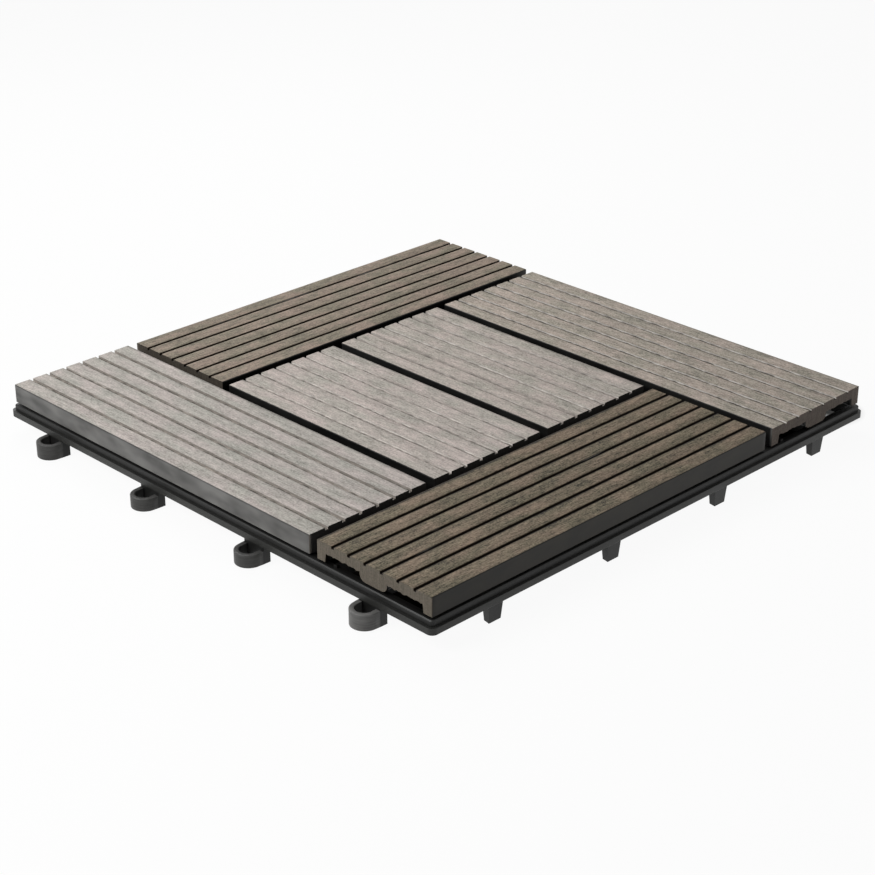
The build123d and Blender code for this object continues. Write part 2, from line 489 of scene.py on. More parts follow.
        # painted shade along one lip of each groove
        far, near = self.lip_fade
        lip = add_node(
            tree, "MapRange", {0: offset, 1: far, 2: near, 3: 1.0, 4: 1.0 - self.lip_shade}
        )
        return self._shaded(tree, tinted.outputs[2], lip.outputs[0])

    def _level(
        self,
        tree: Tree,
        noises: tuple[Socket, Socket],
        limits: tuple[float, float],
        levels: tuple[float, float],
    ) -> Socket:
        """Turn the sum of two noises, between its limits, into a level of brightness."""
        both = add_node(tree, "Math", {0: noises[0], 1: noises[1]}, operation="ADD")
        level = add_node(
            tree,
            "MapRange",
            {0: both.outputs[0], 1: limits[0], 2: limits[1], 3: levels[0], 4: levels[1]},
        )
        return level.outputs[0]

    def _skin_colour(self, tree: Tree, place: Socket, clouds: Socket, chamfer: Socket) -> Socket:
        """Colour the extruded skin, mottled where the die dragged, with a dark top edge."""
        drag = self._noise(tree, place, self.drag_size, 2.0)
        level = self._level(tree, (drag, clouds), self.drag_range, self.drag_level)
        mottled = self._shaded(tree, self.skin, level)
        edge = add_node(tree, "MapRange", {0: chamfer, 3: 1.0, 4: self.edge_level})
        return self._shaded(tree, mottled, edge.outputs[0])

    def _groove_colour(
        self, tree: Tree, across: Socket, height: Socket, noises: tuple[Socket, Socket]
    ) -> Socket:
        """Colour the groove walls, with painted light and shade in the wall colours, darkest at the
        bottoms, and a painted highlight along the top of some of them.
        """
        fibres, streaks = noises
        ragged = self._unsteady(tree, height, fibres)
        floor = self.top - self.groove_depth
        upper = add_node(
            tree,
            "MapRange",
            {0: ragged, 1: floor + self.wall_fade[0], 2: self.top - self.wall_fade[1]},
        )
        wall = add_node(
            tree,
            "Mix",
            {0: upper.outputs[0], 6: linear(self.groove_deep), 7: linear(self.groove_wall)},
            data_type="RGBA",
        )
        # painted highlight along the top of some groove walls
        torn = self._highlight_share(tree, across, streaks)
        low, high = (self.top - depth for depth in self.highlight_fade)
        near = add_node(tree, "MapRange", {0: ragged, 1: low, 2: high})
        share = add_node(tree, "Math", {0: torn, 1: near.outputs[0]}, operation="MULTIPLY")
        highlighted = add_node(
            tree,
            "Mix",
            {0: share.outputs[0], 6: wall.outputs[2], 7: linear(self.groove_highlight)},
            data_type="RGBA",
        )
        (low, high), (least, most) = self.comb_range, self.comb_level
        level = add_node(tree, "MapRange", {0: fibres, 1: low, 2: high, 3: least, 4: most})
        combed = self._shaded(tree, highlighted.outputs[2], level.outputs[0])
        # painted shade, darkest at the bottoms of the grooves
        below, above = self.bottom_shade_fade
        bottom_shade = add_node(
            tree,
            "MapRange",
            {0: ragged, 1: floor - below, 2: floor + above, 3: self.bottom_shade_level},
        )
        return self._shaded(tree, combed, bottom_shade.outputs[0])

    def _highlight_share(self, tree: Tree, across: Socket, streaks: Socket) -> Socket:
        """Give how much of a groove wall gets the painted highlight, which differs from groove to groove
        and along it.
        """
        number = add_node(tree, "Math", {0: across, 1: self.board_pitch}, operation="DIVIDE")
        index = add_node(tree, "Math", {0: number.outputs[0]}, operation="FLOOR")
        first = self.draw_step * self.seed + self.draw_start
        draw = add_node(tree, "Math", {0: index.outputs[0], 1: first}, operation="ADD")
        chance = add_node(tree, "TexWhiteNoise", {"W": draw.outputs[0]}, noise_dimensions="1D")
        mixed = add_node(
            tree,
            "Math",
            {0: chance.outputs[0], 1: self.draw_weight, 2: streaks},
            operation="MULTIPLY_ADD",
        )
        start = self.highlight_start - self.highlight_gain * self.burr
        share = add_node(
            tree,
            "MapRange",
            {0: mixed.outputs[0], 1: start - self.highlight_blur, 2: start + self.highlight_blur},
        )
        return share.outputs[0]

    def _sawn_colour(self, tree: Tree, place: Socket, specks: Socket) -> Socket:
        """Colour the sawn ends with the upright marks of the blade and single grains."""
        marks = self._saw_marks(tree, place)
        level = self._level(tree, (marks, specks), self.saw_range, self.saw_level)
        return self._shaded(tree, self.sawn, level)

    def _saw_marks(self, tree: Tree, place: Socket) -> Socket:
        """Add upright streaks on the sawn ends."""
        width, length = self.saw_size
        stretched = add_node(
            tree,
            "VectorMath",
            {0: place, 1: (1.0, 1 / width, 1 / length)},
            operation="MULTIPLY",
        )
        marks = add_node(
            tree, "TexNoise", {"Vector": stretched.outputs[0], "Scale": 1.0, "Detail": 2.0}
        )
        return marks.outputs[0]

    def _bump(
        self, tree: Tree, place: Socket, noises: tuple[Socket, ...], top_mask: Socket, end_mask: Socket
    ) -> Socket:
        """Raise fibres and grains on top, and the marks of the blade on the ends."""
        fibres, specks = noises
        combed = add_node(
            tree, "Math", {0: specks, 1: self.speck_height, 2: fibres}, operation="MULTIPLY_ADD"
        )
        raised = add_node(tree, "Math", {0: combed.outputs[0], 1: top_mask}, operation="MULTIPLY")
        marks = self._saw_marks(tree, place)
        height = add_node(
            tree, "Math", {0: marks, 1: end_mask, 2: raised.outputs[0]}, operation="MULTIPLY_ADD"
        )
        bump = add_node(
            tree,
            "Bump",
            {"Height": height.outputs[0], "Strength": 1.0, "Distance": self.brush_depth * MM},
        )
        return bump.outputs[0]


@dataclass(frozen=True)
class MouldedPolypropylene:
    """Black polypropylene, injection moulded in an eroded tool.

    The fine grain of the tool breaks up reflections, so the plastic looks satin. Handling scuffs the lip
    to grey in rubs. The loops are paler grey, most at low Y, and the lattice and the inside of the rim
    are darker, as painted shade under the slats.
    """

    name: str = "black_polypropylene_moulded"
    inner: str = "#0c0b0a"               # lattice and inside of the rim, darker as painted shade under the slats
    fresh: str = "#191918"
    scuffed: str = "#31312f"
    loop_grey: str = "#6b6a68"
    rim_inside: float = 146.0            # mm, from the middle of the tile to where the painted shade inside the rim ends
    loop_grey_end: float = -40.0           # mm along Y, above which the loops are least grey
    lip_bottom: float = 8.4              # mm, height below which the pegs keep their black
    lip_top: float = 11.6                # mm, height above which the rim keeps its black
    lip_face: float = 149.9              # mm, from the middle of the tile to the lip
    grain_size: float = 0.5              # mm, coarser than the real tool grain so that it shows
    grain_depth: float = 0.03            # mm
    sheen: float = 0.3                   # specular level, lowered by the tool grain
    flow_size: float = 24.0              # mm, slow change in gloss along the flow
    roughness: tuple[float, float] = (0.38, 0.52)    # through that change
    scratch_size: tuple[float, float, float] = (7.0, 7.0, 0.6)    # mm, rubs along the rim
    least_worn: float = 0.6              # share of the grey that is left between the rubs
    loop_fade: float = 0.4               # mm out from the lip, over which the loops begin
    rim_fade: float = 0.8                # mm, over which that painted shade ends
    lip_top_fade: tuple[float, float] = (0.1, 0.2)    # mm above and below the lip's top
    lip_bottom_fade: float = 0.3         # mm below the lip's bottom
    loop_grey_fade: float = 60.0           # mm, over which the loops get from least to most grey
    least_loop_grey: float = 0.35          # share of the grey on the loops at high Y

    def build(self) -> Material:
        """Make the node material.

        Returns:
            The finished material.
        """
        material, tree = start_material(self.name)
        coordinates = add_node(tree, "TexCoord")
        place = add_node(
            tree,
            "VectorMath",
            {0: coordinates.outputs["Object"], "Scale": 1 / MM},
            operation="SCALE",
        ).outputs[0]
        grain = add_node(tree, "TexNoise", {"Vector": place, "Scale": 1 / self.grain_size})
        flow = add_node(tree, "TexNoise", {"Vector": place, "Scale": 1 / self.flow_size})
        along = add_node(
            tree,
            "VectorMath",
            {0: place, 1: tuple(1 / size for size in self.scratch_size)},
            operation="MULTIPLY",
        )
        rubs = add_node(tree, "TexNoise", {"Vector": along.outputs[0], "Scale": 1.0, "Detail": 3.0})

        axes = add_node(tree, "SeparateXYZ", {0: place})
        leftward = add_node(tree, "Math", {0: axes.outputs[0], 1: -1.0}, operation="MULTIPLY")
        outward = add_node(
            tree, "Math", {0: leftward.outputs[0], 1: axes.outputs[1]}, operation="MAXIMUM"
        )
        loops = add_node(
            tree,
            "MapRange",
            {0: outward.outputs[0], 1: self.lip_face, 2: self.lip_face + self.loop_fade},
        )
        above, below = self.lip_top_fade
        low = add_node(
            tree,
            "MapRange",
            {0: axes.outputs[2], 1: self.lip_top + above, 2: self.lip_top - below},
        )
        worn = add_node(
            tree,
            "MapRange",
            {0: rubs.outputs[0], 1: NOISE_LOW, 2: NOISE_HIGH, 3: self.least_worn},
        )
        plan = add_node(tree, "VectorMath", {0: place}, operation="ABSOLUTE")
        sides = add_node(tree, "SeparateXYZ", {0: plan.outputs[0]})
        reach = add_node(tree, "Math", {0: sides.outputs[0], 1: sides.outputs[1]}, operation="MAXIMUM")
        outer = add_node(
            tree,
            "MapRange",
            {0: reach.outputs[0], 1: self.rim_inside, 2: self.rim_inside + self.rim_fade},
        )
        # painted shade: the lattice and the inside of the rim are darker than the outer faces
        body = add_node(
            tree,
            "Mix",
            {0: outer.outputs[0], 6: linear(self.inner), 7: linear(self.fresh)},
            data_type="RGBA",
        )
        start = self.lip_bottom - self.lip_bottom_fade
        raised = add_node(tree, "MapRange", {0: axes.outputs[2], 1: start, 2: self.lip_bottom})
        band = add_node(tree, "Math", {0: low.outputs[0], 1: raised.outputs[0]}, operation="MULTIPLY")
        lip = add_node(tree, "Math", {0: band.outputs[0], 1: worn.outputs[0]}, operation="MULTIPLY")
        touched = add_node(tree, "Math", {0: lip.outputs[0], 1: outer.outputs[0]}, operation="MULTIPLY")
        rim = add_node(
            tree,
            "Mix",
            {0: touched.outputs[0], 6: body.outputs[2], 7: linear(self.scuffed)},
            data_type="RGBA",
        )
        loop_grey_level = add_node(
            tree,
            "MapRange",
            {
                0: axes.outputs[1],
                1: self.loop_grey_end,
                2: self.loop_grey_end - self.loop_grey_fade,
                3: self.least_loop_grey,
            },
        )
        touch = add_node(tree, "Math", {0: worn.outputs[0], 1: loop_grey_level.outputs[0]}, operation="MULTIPLY")
        loop_grey_mask = add_node(tree, "Math", {0: loops.outputs[0], 1: touch.outputs[0]}, operation="MULTIPLY")
        colour = add_node(
            tree,
            "Mix",
            {0: loop_grey_mask.outputs[0], 6: rim.outputs[2], 7: linear(self.loop_grey)},
            data_type="RGBA",
        )
        smooth, rough = self.roughness
        roughness = add_node(
            tree,
            "MapRange",
            {0: flow.outputs[0], 1: NOISE_LOW, 2: NOISE_HIGH, 3: smooth, 4: rough},
        )
        bump = add_node(
            tree,
            "Bump",
            {"Height": grain.outputs[0], "Strength": 1.0, "Distance": self.grain_depth * MM},
        )
        shader = add_node(
            tree,
            "BsdfPrincipled",
            {
                "Base Color": colour.outputs[2],
                "Roughness": roughness.outputs[0],
                "Normal": bump.outputs[0],
                "IOR": PLASTIC_IOR,
                "Specular IOR Level": self.sheen,
            },
        )
        add_node(tree, "OutputMaterial", {"Surface": shader.outputs[0]})
        return material


@dataclass(frozen=True)
class ZincPlatedSteel:
    """Carbon steel, cold headed and zinc plated, with a thin passivated layer.

    Zinc gives a bright, slightly blue metal, which clouds of passivation dull in places.
    """

    name: str = "zinc_plated_steel"
    bright: str = "#c9cbcc"
    dull: str = "#a5a49b"
    cloud_size: float = 1.5              # mm
    roughness: tuple[float, float] = (0.25, 0.42)    # from bright to dull

    def build(self) -> Material:
        """Make the node material.

        Returns:
            The finished material.
        """
        material, tree = start_material(self.name)
        coordinates = add_node(tree, "TexCoord")
        clouds = add_node(
            tree,
            "TexNoise",
            {
                "Vector": coordinates.outputs["Object"],
                "Scale": 1 / (self.cloud_size * MM),
                "Detail": 3.0,
            },
        )
        colour = add_node(
            tree,
            "Mix",
            {0: clouds.outputs[0], 6: linear(self.bright), 7: linear(self.dull)},
            data_type="RGBA",
        )
        smooth, rough = self.roughness
        roughness = add_node(
            tree,
            "MapRange",
            {0: clouds.outputs[0], 1: NOISE_LOW, 2: NOISE_HIGH, 3: smooth, 4: rough},
        )
        shader = add_node(
            tree,
            "BsdfPrincipled",
            {"Base Color": colour.outputs[2], "Roughness": roughness.outputs[0], "Metallic": 1.0},
        )
        add_node(tree, "OutputMaterial", {"Surface": shader.outputs[0]})
        return material


@dataclass(frozen=True)
class Tone:
    """Colours of one slat as its surfaces were worked, with the painted light and shade that fall on it.
    """

    brushed: str
    skin: str
    sawn: str
    groove_wall: str
    groove_deep: str
    groove_highlight: str = "#e6e1da"
    burr: float = 0.0
    contrast: float = 0.8
    olive: str = "#fbfdf8"
    rose: str = "#fff9f8"
    end_gap_shade_level: float = 0.1
    lip_shade: float = 0.3


@dataclass
class Slat:
    """One grooved slat: rounded groove lips, torn channel ceilings and brushed composite."""

    node: str
    slot: str
    tone: Tone
    seed: int
    lip_radius: float = 0.35             # mm, rolled over by the brush
    ceiling: float = 20.0                # mm, height of the two channel ceilings
    tear_count: int = 17                 # torn places across each channel
    tear_length: float = 2.5             # mm, how far in from the sawn end the tears reach
    tear_down: float = 0.6               # mm
    tear_up: float = 0.2                 # mm
    screw_offsets: tuple[float, float] = (75.0, 37.5)    # mm, in a long slat and in a short one
    long_half: float = 100.0             # mm, the half length above which a slat is a long one
    corner_share: float = 0.8            # of the lip radius, on the upright corners of the ends
    corner_height: float = 5.0           # mm, edges that rise by more are such corners

    def __post_init__(self) -> None:
        """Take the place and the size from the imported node."""
        low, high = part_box(self.node)
        self.centre: Vector = (low + high) / 2 / MM
        self.half: Vector = (high - low) / 2 / MM
        self.top: float = high.z / MM
        self.grain = Grain.ALONG_X if self.half.x > self.half.y else Grain.ALONG_Y
        self.along: int = 0 if self.grain is Grain.ALONG_X else 1

    @property
    def screw_offset(self) -> float:
        """Distance from the middle of the slat to each of its two screws, in mm."""
        in_long, in_short = self.screw_offsets
        return in_long if self.half[self.along] > self.long_half else in_short

    def build(self) -> Object:
        """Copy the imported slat, work its edges and ends, and dress it.

        Returns:
            The finished slat.
        """
        piece = copy_node(self.node, f"{self.node}_brushed")
        self._tear_ceilings(piece)
        round_edges(piece, self.lip_radius, self._edge_weight)
        finish = BrushedComposite(
            name=f"brushed_wood_plastic_composite_{self.node}",
            grain=self.grain,
            centre=(self.centre.x, self.centre.y),
            seed=float(self.seed),
            half_width=min(self.half.x, self.half.y),
            top=self.top,
            **vars(self.tone),
        )
        piece.data.materials.append(finish.build())
        seat(piece, self.node)
        return piece

    def _at_end(self, point: Vector, inset: float = 0.0) -> bool:
        """Whether a point in mm lies on a sawn end, or that far in from one."""
        reach = self.half[self.along] - inset
        return abs(abs(point[self.along] - self.centre[self.along]) - reach) < TOLERANCE

    def _tear_ceilings(self, piece: Object) -> None:
        """Divide the upper edge of each channel at the sawn ends and shift its points up or down."""
        mesh = piece.data
        for side in (-1, 1):
            self._score_ceiling(side)
        corners = self._ceiling_points(mesh)
        for channel in (-1, 1):
            self._divide_ceiling(mesh, channel)
        draw = random.Random(self.seed)
        fresh = self._ceiling_points(mesh) - corners
        torn = sorted(i for i in fresh if self._at_end(mesh.vertices[i].co / MM))
        for i in torn:
            mesh.vertices[i].co.z += draw.uniform(-self.tear_down, self.tear_up) * MM
        LOG.info("%s: %d torn points", piece.name, len(torn))

    def _divide_ceiling(self, mesh: Mesh, channel: int) -> None:
        """Divide the ceiling of one channel lengthwise, from the sawn ends to the scored lines.

        The channels are divided in turn, so that no sawn face is split between the two.

        Args:
            mesh: Mesh of the slat.
            channel: -1 for the channel on the low side of the slat, 1 for the one on the high side.
        """
        self._deselect(mesh)
        for edge in self._ceiling_edges(mesh, channel):
            mesh.edges[edge].select = True
            for i in mesh.edges[edge].vertices:
                mesh.vertices[i].select = True
        bpy.ops.object.mode_set(mode="EDIT")
        bpy.ops.mesh.select_mode(type="EDGE")
        bpy.ops.mesh.subdivide(number_cuts=self.tear_count)
        bpy.ops.object.mode_set(mode="OBJECT")

    def _score_ceiling(self, side: int) -> None:
        """Cut the faces of the active slat across, where the tears at one end stop.

        Args:
            side: -1 for the low end of the slat, 1 for the high end.
        """
        place = Vector((0.0, 0.0, 0.0))
        normal = Vector((0.0, 0.0, 0.0))
        middle = self.centre[self.along]
        place[self.along] = (middle + side * (self.half[self.along] - self.tear_length)) * MM
        normal[self.along] = 1.0
        bpy.ops.object.mode_set(mode="EDIT")
        bpy.ops.mesh.select_mode(type="FACE")
        bpy.ops.mesh.select_all(action="SELECT")
        bpy.ops.mesh.bisect(plane_co=place, plane_no=normal)
        bpy.ops.object.mode_set(mode="OBJECT")

    def _ceiling_edges(self, mesh: Mesh, channel: int) -> list[int]:
        """Give the edges across the ceiling of one channel, at the sawn ends and the scored lines."""
        across = 1 - self.along
        middle = self.centre[across] * MM
        place = {
            v.index: v.co[self.along]
            for v in mesh.vertices
            if abs(v.co.z / MM - self.ceiling) < TOLERANCE
            and (self._at_end(v.co / MM) or self._at_end(v.co / MM, self.tear_length))
            and (v.co[across] - middle) * channel > 0.0
        }
        edges = [edge for edge in mesh.edges if all(i in place for i in edge.vertices)]
        return [e.index for e in edges if abs(place[e.vertices[0]] - place[e.vertices[1]]) < MM]

    def _ceiling_points(self, mesh: Mesh) -> set[int]:
        """Give the points of those edges in both channels."""
        edges = self._ceiling_edges(mesh, -1) + self._ceiling_edges(mesh, 1)
        return {i for edge in edges for i in mesh.edges[edge].vertices}

    @staticmethod
    def _deselect(mesh: Mesh) -> None:
        """Deselect every face, edge and point of a mesh."""
        for part in (mesh.polygons, mesh.edges, mesh.vertices):
            part.foreach_set("select", [False] * len(part))

    def _edge_weight(self, start: Vector, end: Vector) -> float:
        """Weigh the lips of the grooves fully, and the sawn corners a little less."""
        at_end = self._at_end(start) and self._at_end(end)
        if min(start.z, end.z) > self.top - TOLERANCE:
            return 0.0 if at_end else 1.0
        upright = abs(start.z - end.z) > self.corner_height
        return self.corner_share if at_end and upright else 0.0


@dataclass
class Slats:
    """The six slats: four long ones round the outside and two short ones in the middle."""

    lit_skin: str = "#5f5e5c"
    shaded_skin: str = "#1c1912"
    dark_olive: str = "#f7f9ee"
    dark_rose: str = "#fff5f0"
    slats: list[Slat] = field(default_factory=list)

    def build(self) -> None:
        """Work and dress each slat in its own tone."""
        # The slats along X and along Y are one composite. The paler tones along Y are painted sheen of
        # the brushing, and the darker ones along X are without it. The back slat is paler than the front
        # one as painted fall-off of light. The paler skin is painted light on the lit left sides, and
        # the darker skin is painted shade on the front sides.
        light, dark = "slat_composite", "slat_composite_dark"
        pale, deep = self.lit_skin, self.shaded_skin
        mixed = {"olive": self.dark_olive, "rose": self.dark_rose}
        left = Tone(
            "#a8a39e", pale, "#77716a", "#98918a", "#aba39a", burr=0.05, contrast=0.92, lip_shade=0.38
        )
        front = Tone(
            "#6d6457", deep, "#655e54", "#2a2119", "#1b150f", contrast=1.9, lip_shade=0.85, **mixed
        )
        right = Tone(
            "#a1998f", pale, "#6a615a", "#857e76", "#605952", burr=0.9, contrast=1.25, lip_shade=0.25
        )
        back = Tone(
            "#847b71", deep, "#655d53", "#2c231b", "#1c1610",
            contrast=1.3, lip_shade=0.0, end_gap_shade_level=0.5, **mixed,
        )
        centre_left = Tone("#ada6a0", pale, "#77716a", "#c4bbb4", "#bdb5ae", burr=0.6, contrast=0.94)
        centre_right = Tone("#aaa39c", pale, "#77716a", "#beb6af", "#b0a8a1", burr=0.65, contrast=1.02)
        rows = (
            ("left_slat", light, left),
            ("front_slat", dark, front),
            ("right_slat", light, right),
            ("back_slat", dark, back),
            ("centre_left_slat", light, centre_left),
            ("centre_right_slat", light, centre_right),
        )
        for seed, (node, slot, tone) in enumerate(rows):
            slat = Slat(node, slot, tone, seed)
            slat.build()
            self.slats.append(slat)


@dataclass
class BaseGrid:
    """The moulded base with its rim, lattice, feet, pegs and loops."""

    node: str = "base_grid"
    slot: str = "base_plastic"
    edge_radius: float = 0.4             # mm, on the loops and pegs
    rim_share: float = 0.4               # of that, on the sharp edges of the rim
    lip_bottom: float = 8.4              # mm
    lip_face: float = 149.8              # mm from the middle of the tile
    clearance: float = 0.05              # mm past the rim, by which an edge belongs to a loop

    def build(self) -> Object:
        """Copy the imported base, round the edges that show, and dress it.

        Returns:
            The finished base.
        """
        piece = copy_node(self.node, "base_grid_moulded")
        round_edges(piece, self.edge_radius, self._edge_weight)
        piece.data.materials.append(MouldedPolypropylene().build())
        seat(piece, self.node)
        return piece

    def _edge_weight(self, start: Vector, end: Vector) -> float:
        """Weigh loop and peg edges fully and the rim's edges lightly; leave the lattice sharp."""
        reach = [max(abs(point.x), abs(point.y)) for point in (start, end)]
        level = abs(start.z - end.z) < TOLERANCE
        low = max(start.z, end.z) < self.lip_bottom - self.clearance
        if min(reach) > self.lip_face + self.clearance and low:
            return 1.0 if level else 0.0
        on_lip = all(abs(value - self.lip_face) < 2 * TOLERANCE for value in reach)
        if on_lip and level and min(start.z, end.z) > self.lip_bottom - TOLERANCE:
            return self.rim_share
        return 0.0


@dataclass
class SlatScrews:
    """Twelve pan-head screws with a cross recess and a coarse thread, driven from below."""

    places: list[tuple[float, float]]
    head_bottom: float = 10.3            # mm, the outer face of the head, which looks down
    seat_height: float = 12.7            # mm
    tip_height: float = 21.7             # mm
    head_radius: float = 3.7
    dome_height: float = 1.35            # mm, of the rounded outer face of the head
    neck_height: float = 0.4             # mm above the seat, where the neck begins to taper
    core_start: float = 0.9              # mm above the seat
    point_height: float = 2.2
    edge: float = 0.1                    # mm, broken off the head and the neck
    thread_radius: float = 1.95
    core_radius: float = 1.4
    thread_pitch: float = 1.4
    thread_start: float = 1.0            # mm above the seat
    thread_end: float = 2.4              # mm below the tip
    ridge_half: float = 0.3              # half the width of the ridge at its root
    ridge_sunk: float = 0.1              # how deep its root is set into the core
    recess_span: float = 4.2
    recess_width: float = 0.95
    recess_depth: float = 1.5
    recess_taper: tuple[float, float] = (0.45, 0.75)    # of its span and width, at its bottom
    turn: float = 37.0                   # degrees from one screw to the next, as they were driven
    sharp_angle: float = 32.0            # degrees
    body_steps: int = 32                 # faces round the body
    thread_steps: int = 24               # faces in each turn of the thread

    def build(self) -> Object:
        """Model one screw, set a copy at each place and join them.

        Returns:
            The finished set of screws.
        """
        screw = self._turned_body()
        self._cut_recess(screw)
        thread = self._thread()
        select_only(screw)
        thread.select_set(True)
        bpy.ops.object.join()
        copies = [screw]
        for _ in self.places[1:]:
            twin = bpy.data.objects.new("slat_screw", screw.data.copy())
            bpy.context.collection.objects.link(twin)
            copies.append(twin)
        for number, (twin, (x, y)) in enumerate(zip(copies, self.places)):
            turn = Matrix.Rotation(math.radians(self.turn * number), 4, "Z")
            twin.data.transform(Matrix.Translation((x * MM, y * MM, 0.0)) @ turn)
        select_only(screw)
        for twin in copies:
            twin.select_set(True)
        bpy.ops.object.join()
        screw.name = "slat_screws_threaded"
        bpy.ops.object.shade_smooth_by_angle(angle=math.radians(self.sharp_angle))
        screw.data.materials.clear()
        screw.data.materials.append(ZincPlatedSteel().build())
        seat(screw, "slat_screws")
        return screw

    def _spin(self, name: str, profile: list[tuple[float, float]]) -> Object:
        """Spin a profile round the Z axis into a closed body.

        Args:
            name: Name of the new object.
            profile: Radius and height of each point, in mm.

        Returns:
            The spun body.
        """
        mesh = bpy.data.meshes.new(name)
        points = [(radius * MM, 0.0, height * MM) for radius, height in profile]
        mesh.from_pydata(points, [(i, i + 1) for i in range(len(points) - 1)], [])
        body = bpy.data.objects.new(name, mesh)
        bpy.context.collection.objects.link(body)
        select_only(body)
        bpy.ops.object.mode_set(mode="EDIT")
        bpy.ops.mesh.select_all(action="SELECT")
        bpy.ops.mesh.spin(
            steps=self.body_steps, angle=math.tau, center=(0.0, 0.0, 0.0), axis=(0.0, 0.0, 1.0)
        )
        bpy.ops.mesh.select_all(action="SELECT")
        bpy.ops.mesh.remove_doubles(threshold=MERGE_DISTANCE)
        bpy.ops.mesh.normals_make_consistent(inside=False)
        bpy.ops.object.mode_set(mode="OBJECT")
        return body

    def _turned_body(self) -> Object:
        """Spin the pan head, the neck, the core and the point."""
        angles = [math.radians(step) for step in range(0, 91, 15)]
        dome = [
            (
                self.head_radius * math.sin(angle),
                self.head_bottom + self.dome_height * (1 - math.cos(angle)),
            )
            for angle in angles
        ]
        profile = dome + [
            (self.head_radius, self.seat_height - self.edge),
            (self.head_radius - self.edge, self.seat_height),
            (self.thread_radius, self.seat_height),
            (self.thread_radius - self.edge, self.seat_height + self.neck_height),
            (self.core_radius, self.seat_height + self.core_start),
            (self.core_radius, self.tip_height - self.point_height),
            (0.0, self.tip_height),
        ]
        return self._spin("slat_screw", profile)

    def _cut_recess(self, screw: Object) -> None:
        """Cut the tapered cross recess into the head."""
        for turn in (0.0, math.pi / 2):
            bpy.ops.object.select_all(action="DESELECT")
            bpy.ops.mesh.primitive_cube_add(size=MM, location=(0.0, 0.0, 0.0))
            cutter = bpy.context.object
            bpy.ops.object.mode_set(mode="EDIT")
            size = (self.recess_span, self.recess_width, 2 * self.recess_depth)
            bpy.ops.transform.resize(value=size)
            bpy.ops.object.mode_set(mode="OBJECT")
            for vertex in cutter.data.vertices:
                if vertex.co.z > 0:
                    vertex.co.x *= self.recess_taper[0]
                    vertex.co.y *= self.recess_taper[1]
            lift = Matrix.Translation((0.0, 0.0, self.head_bottom * MM))
            cutter.data.transform(lift @ Matrix.Rotation(turn, 4, "Z"))
            cut = screw.modifiers.new("recess", "BOOLEAN")
            cut.operation = "DIFFERENCE"
            cut.object = cutter
            select_only(screw)
            bpy.ops.object.modifier_apply(modifier=cut.name)
            bpy.data.objects.remove(cutter)
        clean_mesh()

    def _thread(self) -> Object:
        """Sweep the thread's ridge up the core."""
        start = self.seat_height + self.thread_start
        turns = int((self.tip_height - self.thread_end - start) / self.thread_pitch)
        mesh = bpy.data.meshes.new("slat_screw_thread")
        sunk = self.core_radius - self.ridge_sunk
        crest = start + self.ridge_half
        ridge = [(sunk, start), (self.thread_radius, crest), (sunk, crest + self.ridge_half)]
        points = [(radius * MM, 0.0, height * MM) for radius, height in ridge]
        mesh.from_pydata(points, [(0, 1), (1, 2), (2, 0)], [])
        thread = bpy.data.objects.new("slat_screw_thread", mesh)
        bpy.context.collection.objects.link(thread)
        sweep = thread.modifiers.new("helix", "SCREW")
        sweep.steps = self.thread_steps
        sweep.render_steps = self.thread_steps
        sweep.iterations = turns
        sweep.screw_offset = self.thread_pitch * MM
        select_only(thread)
        bpy.ops.object.modifier_apply(modifier=sweep.name)
        bpy.ops.object.mode_set(mode="EDIT")
        bpy.ops.mesh.select_all(action="DESELECT")
        bpy.ops.mesh.select_mode(type="EDGE")
        bpy.ops.mesh.select_non_manifold()
        bpy.ops.mesh.edge_face_add()
        bpy.ops.mesh.select_all(action="SELECT")
        bpy.ops.mesh.normals_make_consistent(inside=False)
        bpy.ops.object.mode_set(mode="OBJECT")
        return thread


